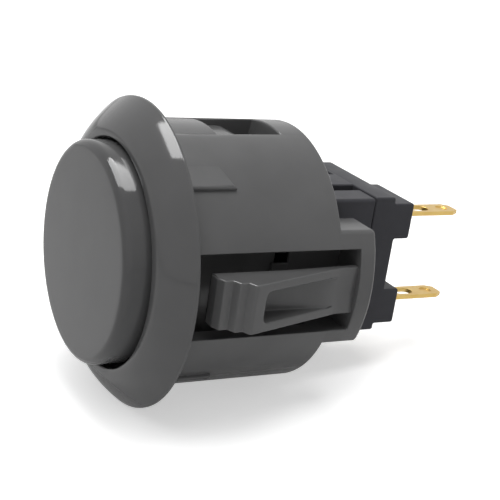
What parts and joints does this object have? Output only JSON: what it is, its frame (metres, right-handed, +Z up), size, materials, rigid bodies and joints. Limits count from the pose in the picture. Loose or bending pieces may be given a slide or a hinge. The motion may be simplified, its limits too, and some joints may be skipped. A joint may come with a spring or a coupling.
{
  "type": "arcade push button",
  "caption": "Round snap-in push button with a domed bezel, a flat plunger cap, spring latches on the barrel and a plug-in switch with blade terminals at the rear.",
  "frame": {"origin": "centre of the bezel's underside, on the panel's front face", "axes": "+Y along the button's axis into the panel, towards the terminals; the cap faces -Y; +Z up; the latches stand at +X and -X"},
  "size_m": [0.035, 0.0454, 0.0332],
  "materials": {
    "housing_plastic": "satin dark grey moulding",
    "plunger_plastic": "satin dark grey moulding",
    "switch_plastic": "black moulding",
    "actuator_plastic": "black moulding",
    "spring_steel": "drawn steel wire",
    "terminal_gold": "gold-plated strip",
    "bridge_bronze": "bronze strip",
    "contact_silver": "silver alloy"
  },
  "bodies": {
    "housing": {"housing": "housing_plastic", "switch_case": "switch_plastic", "switch_base": "switch_plastic", "upper_terminal": "terminal_gold", "lower_terminal": "terminal_gold", "upper_fixed_contact": "contact_silver", "lower_fixed_contact": "contact_silver", "return_spring": "spring_steel"},
    "plunger": {"plunger": "plunger_plastic"},
    "actuator": {"switch_actuator": "actuator_plastic", "contact_bridge": "bridge_bronze", "upper_moving_contact": "contact_silver", "lower_moving_contact": "contact_silver"}
  },
  "joints": [
    {"name": "plunger_press", "type": "slide", "parent": "housing", "child": "plunger", "axis": [0, 1, 0], "range_m": [0, 0.0022], "stiffness_N_per_m": 200, "springref_m": -0.003},
    {"name": "actuator_slide", "type": "slide", "parent": "housing", "child": "actuator", "axis": [0, 1, 0], "range_m": [0, 0.0022], "deforming": ["return_spring"]}
  ],
  "couplings": [
    {"joint": "actuator_slide", "follows": "plunger_press", "ratio": 1}
  ]
}
